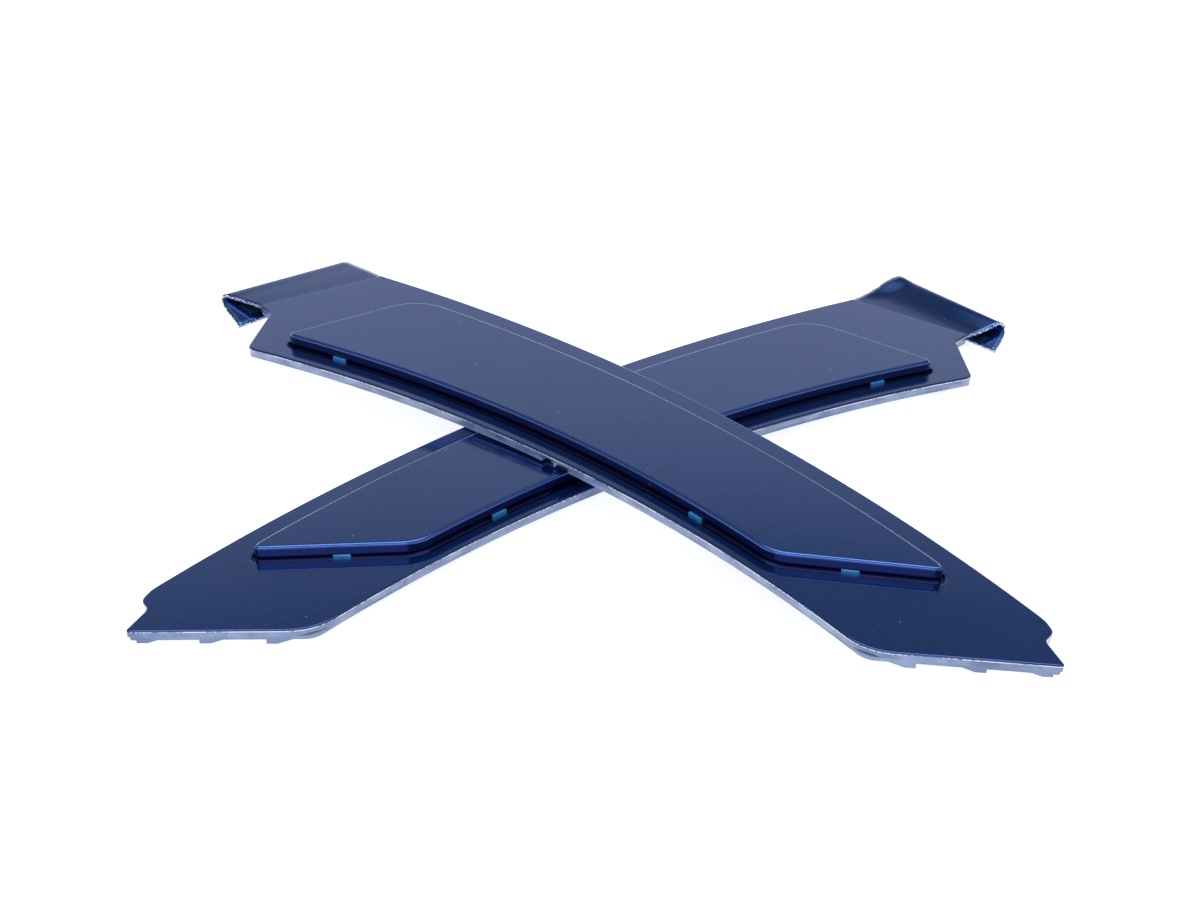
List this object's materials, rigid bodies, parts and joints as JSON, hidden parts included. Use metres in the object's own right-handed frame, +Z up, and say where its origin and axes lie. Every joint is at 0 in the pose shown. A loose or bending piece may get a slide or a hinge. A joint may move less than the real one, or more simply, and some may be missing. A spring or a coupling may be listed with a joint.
{
  "type": "pair of curved trim covers",
  "caption": "Handed pair of long curved trim covers with raised inserts and hooked ends, crossed one over the other.",
  "frame": {"origin": "on the surface that the lower strip stands on, in the middle of the crossed pair", "axes": "+X across the cross from the lower strip's wide end to its hook, +Y away from the two wide ends, +Z up"},
  "size_m": [0.3588, 0.3092, 0.0259],
  "materials": {
    "cover_paint": "metallic navy paint under gloss lacquer",
    "carrier_moulding": "moulded, with paint overspray",
    "tab_moulding": "gloss",
    "clip_moulding": "moulded",
    "screw_steel": "zinc plated",
    "tape_foam": "closed-cell foam",
    "buffer_rubber": "matte rubber",
    "hook_felt": "thin felt"
  },
  "bodies": {
    "lower_strip": {"lower_buffers": "buffer_rubber", "lower_carrier": "carrier_moulding", "lower_carrier_screws": "screw_steel", "lower_cover": "cover_paint", "lower_edge_clips": "clip_moulding", "lower_foam_tape": "tape_foam", "lower_hook_pad": "hook_felt", "lower_insert": "cover_paint", "lower_insert_clips": "tab_moulding"},
    "upper_strip": {"upper_buffers": "buffer_rubber", "upper_carrier": "carrier_moulding", "upper_carrier_screws": "screw_steel", "upper_cover": "cover_paint", "upper_edge_clips": "clip_moulding", "upper_foam_tape": "tape_foam", "upper_hook_pad": "hook_felt", "upper_insert": "cover_paint", "upper_insert_clips": "tab_moulding"}
  },
  "joints": [
    {"name": "upper_lift", "type": "slide", "parent": "lower_strip", "child": "upper_strip", "axis": [0, 0, 1], "range_m": [0, 0.12]}
  ]
}
